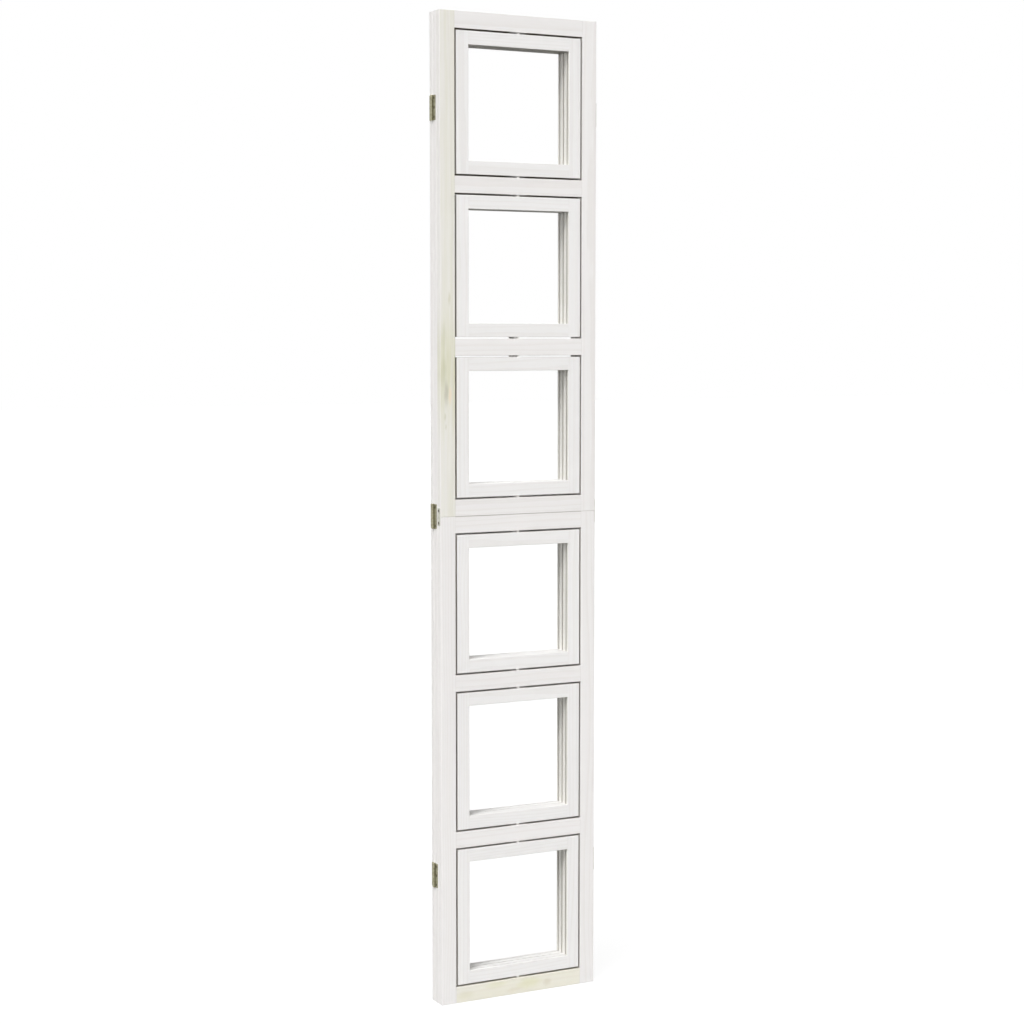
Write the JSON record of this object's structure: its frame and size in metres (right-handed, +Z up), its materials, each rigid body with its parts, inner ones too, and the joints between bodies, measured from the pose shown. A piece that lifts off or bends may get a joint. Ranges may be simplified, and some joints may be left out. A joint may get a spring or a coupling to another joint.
{
  "type": "photo frame room divider",
  "caption": "Folding wooden room divider whose hinged panels each hold a column of square picture frames turning on pins, stored folded flat.",
  "frame": {"origin": "on the floor, in the middle of the folded stack of panels", "axes": "+Z up; +X along the panels, to the right seen from the front; +Y from the front panel to the rear one, so the front faces -Y"},
  "size_m": [0.31, 0.0396, 1.7],
  "materials": {
    "panel_wood": "whitewashed, matt, with faint grain",
    "frame_wood": "whitewashed, matt, with faint grain",
    "pin_wood": "whitewashed, matt",
    "dowel_wood": "bare beech",
    "hinge_brass": "dull antique brass",
    "zinc_plate": "dull zinc plating",
    "screw_steel": "dark bronze coating"
  },
  "bodies": {
    "middle_panel": {"middle_lower_left_stile": "panel_wood", "middle_lower_right_stile": "panel_wood", "middle_lower_rails": "panel_wood", "middle_upper_left_stile": "panel_wood", "middle_upper_right_stile": "panel_wood", "middle_upper_rails": "panel_wood", "middle_pivot_pins": "pin_wood", "middle_rail_dowels": "dowel_wood", "middle_joint_dowels": "dowel_wood", "middle_right_hinge_leaves": "hinge_brass", "middle_right_hinge_screws": "screw_steel", "middle_left_hinge_leaves": "hinge_brass", "middle_left_hinge_screws": "screw_steel", "right_hinge_pins": "hinge_brass", "left_hinge_pins": "hinge_brass"},
    "front_panel": {"front_lower_left_stile": "panel_wood", "front_lower_right_stile": "panel_wood", "front_lower_rails": "panel_wood", "front_upper_left_stile": "panel_wood", "front_upper_right_stile": "panel_wood", "front_upper_rails": "panel_wood", "front_pivot_pins": "pin_wood", "front_rail_dowels": "dowel_wood", "front_joint_dowels": "dowel_wood", "front_hinge_leaves": "hinge_brass", "front_hinge_screws": "screw_steel", "front_mending_plate": "zinc_plate", "front_plate_screws": "screw_steel"},
    "rear_panel": {"rear_lower_left_stile": "panel_wood", "rear_lower_right_stile": "panel_wood", "rear_lower_rails": "panel_wood", "rear_upper_left_stile": "panel_wood", "rear_upper_right_stile": "panel_wood", "rear_upper_rails": "panel_wood", "rear_pivot_pins": "pin_wood", "rear_rail_dowels": "dowel_wood", "rear_joint_dowels": "dowel_wood", "rear_hinge_leaves": "hinge_brass", "rear_hinge_screws": "screw_steel", "rear_mending_plate": "zinc_plate", "rear_plate_screws": "screw_steel"},
    "front_picture_1": {"front_picture_frame_1": "frame_wood"},
    "front_picture_2": {"front_picture_frame_2": "frame_wood"},
    "front_picture_3": {"front_picture_frame_3": "frame_wood"},
    "front_picture_4": {"front_picture_frame_4": "frame_wood"},
    "front_picture_5": {"front_picture_frame_5": "frame_wood"},
    "front_picture_6": {"front_picture_frame_6": "frame_wood"},
    "middle_picture_1": {"middle_picture_frame_1": "frame_wood"},
    "middle_picture_2": {"middle_picture_frame_2": "frame_wood"},
    "middle_picture_3": {"middle_picture_frame_3": "frame_wood"},
    "middle_picture_4": {"middle_picture_frame_4": "frame_wood"},
    "middle_picture_5": {"middle_picture_frame_5": "frame_wood"},
    "middle_picture_6": {"middle_picture_frame_6": "frame_wood"},
    "rear_picture_1": {"rear_picture_frame_1": "frame_wood"},
    "rear_picture_2": {"rear_picture_frame_2": "frame_wood"},
    "rear_picture_3": {"rear_picture_frame_3": "frame_wood"},
    "rear_picture_4": {"rear_picture_frame_4": "frame_wood"},
    "rear_picture_5": {"rear_picture_frame_5": "frame_wood"},
    "rear_picture_6": {"rear_picture_frame_6": "frame_wood"}
  },
  "joints": [
    {"name": "front_fold", "type": "hinge", "parent": "middle_panel", "child": "front_panel", "pos_m": [0.15275, -0.00675, 0.85], "axis": [0, 0, 1], "range_deg": [0, 180]},
    {"name": "rear_fold", "type": "hinge", "parent": "middle_panel", "child": "rear_panel", "pos_m": [-0.15275, 0.00675, 0.85], "axis": [0, 0, 1], "range_deg": [0, 180]},
    {"name": "middle_turn_1", "type": "hinge", "parent": "middle_panel", "child": "middle_picture_1", "pos_m": [0, 0, 1.5488], "axis": [0, 0, 1], "range_deg": [-18, 18]},
    {"name": "front_turn_1", "type": "hinge", "parent": "front_panel", "child": "front_picture_1", "pos_m": [0, -0.0135, 1.5488], "axis": [0, 0, 1], "range_deg": [-18, 18]},
    {"name": "rear_turn_1", "type": "hinge", "parent": "rear_panel", "child": "rear_picture_1", "pos_m": [0, 0.0135, 1.5488], "axis": [0, 0, 1], "range_deg": [-18, 18]},
    {"name": "middle_turn_2", "type": "hinge", "parent": "middle_panel", "child": "middle_picture_2", "pos_m": [0, 0, 1.2751], "axis": [0, 0, 1], "range_deg": [-18, 18]},
    {"name": "front_turn_2", "type": "hinge", "parent": "front_panel", "child": "front_picture_2", "pos_m": [0, -0.0135, 1.2751], "axis": [0, 0, 1], "range_deg": [-18, 18]},
    {"name": "rear_turn_2", "type": "hinge", "parent": "rear_panel", "child": "rear_picture_2", "pos_m": [0, 0.0135, 1.2751], "axis": [0, 0, 1], "range_deg": [-18, 18]},
    {"name": "middle_turn_3", "type": "hinge", "parent": "middle_panel", "child": "middle_picture_3", "pos_m": [0, 0, 1.0014], "axis": [0, 0, 1], "range_deg": [-18, 18]},
    {"name": "front_turn_3", "type": "hinge", "parent": "front_panel", "child": "front_picture_3", "pos_m": [0, -0.0135, 1.0014], "axis": [0, 0, 1], "range_deg": [-18, 18]},
    {"name": "rear_turn_3", "type": "hinge", "parent": "rear_panel", "child": "rear_picture_3", "pos_m": [0, 0.0135, 1.0014], "axis": [0, 0, 1], "range_deg": [-18, 18]},
    {"name": "middle_turn_4", "type": "hinge", "parent": "middle_panel", "child": "middle_picture_4", "pos_m": [0, 0, 0.6986], "axis": [0, 0, 1], "range_deg": [-18, 18]},
    {"name": "front_turn_4", "type": "hinge", "parent": "front_panel", "child": "front_picture_4", "pos_m": [0, -0.0135, 0.6986], "axis": [0, 0, 1], "range_deg": [-18, 18]},
    {"name": "rear_turn_4", "type": "hinge", "parent": "rear_panel", "child": "rear_picture_4", "pos_m": [0, 0.0135, 0.6986], "axis": [0, 0, 1], "range_deg": [-18, 18]},
    {"name": "middle_turn_5", "type": "hinge", "parent": "middle_panel", "child": "middle_picture_5", "pos_m": [0, 0, 0.4249], "axis": [0, 0, 1], "range_deg": [-18, 18]},
    {"name": "front_turn_5", "type": "hinge", "parent": "front_panel", "child": "front_picture_5", "pos_m": [0, -0.0135, 0.4249], "axis": [0, 0, 1], "range_deg": [-18, 18]},
    {"name": "rear_turn_5", "type": "hinge", "parent": "rear_panel", "child": "rear_picture_5", "pos_m": [0, 0.0135, 0.4249], "axis": [0, 0, 1], "range_deg": [-18, 18]},
    {"name": "middle_turn_6", "type": "hinge", "parent": "middle_panel", "child": "middle_picture_6", "pos_m": [0, 0, 0.1512], "axis": [0, 0, 1], "range_deg": [-18, 18]},
    {"name": "front_turn_6", "type": "hinge", "parent": "front_panel", "child": "front_picture_6", "pos_m": [0, -0.0135, 0.1512], "axis": [0, 0, 1], "range_deg": [-18, 18]},
    {"name": "rear_turn_6", "type": "hinge", "parent": "rear_panel", "child": "rear_picture_6", "pos_m": [0, 0.0135, 0.1512], "axis": [0, 0, 1], "range_deg": [-18, 18]}
  ],
  "couplings": [
    {"joint": "front_turn_1", "follows": "middle_turn_1", "ratio": 1},
    {"joint": "rear_turn_1", "follows": "middle_turn_1", "ratio": 1},
    {"joint": "front_turn_2", "follows": "middle_turn_2", "ratio": 1},
    {"joint": "rear_turn_2", "follows": "middle_turn_2", "ratio": 1},
    {"joint": "front_turn_3", "follows": "middle_turn_3", "ratio": 1},
    {"joint": "rear_turn_3", "follows": "middle_turn_3", "ratio": 1},
    {"joint": "front_turn_4", "follows": "middle_turn_4", "ratio": 1},
    {"joint": "rear_turn_4", "follows": "middle_turn_4", "ratio": 1},
    {"joint": "front_turn_5", "follows": "middle_turn_5", "ratio": 1},
    {"joint": "rear_turn_5", "follows": "middle_turn_5", "ratio": 1},
    {"joint": "front_turn_6", "follows": "middle_turn_6", "ratio": 1},
    {"joint": "rear_turn_6", "follows": "middle_turn_6", "ratio": 1}
  ]
}
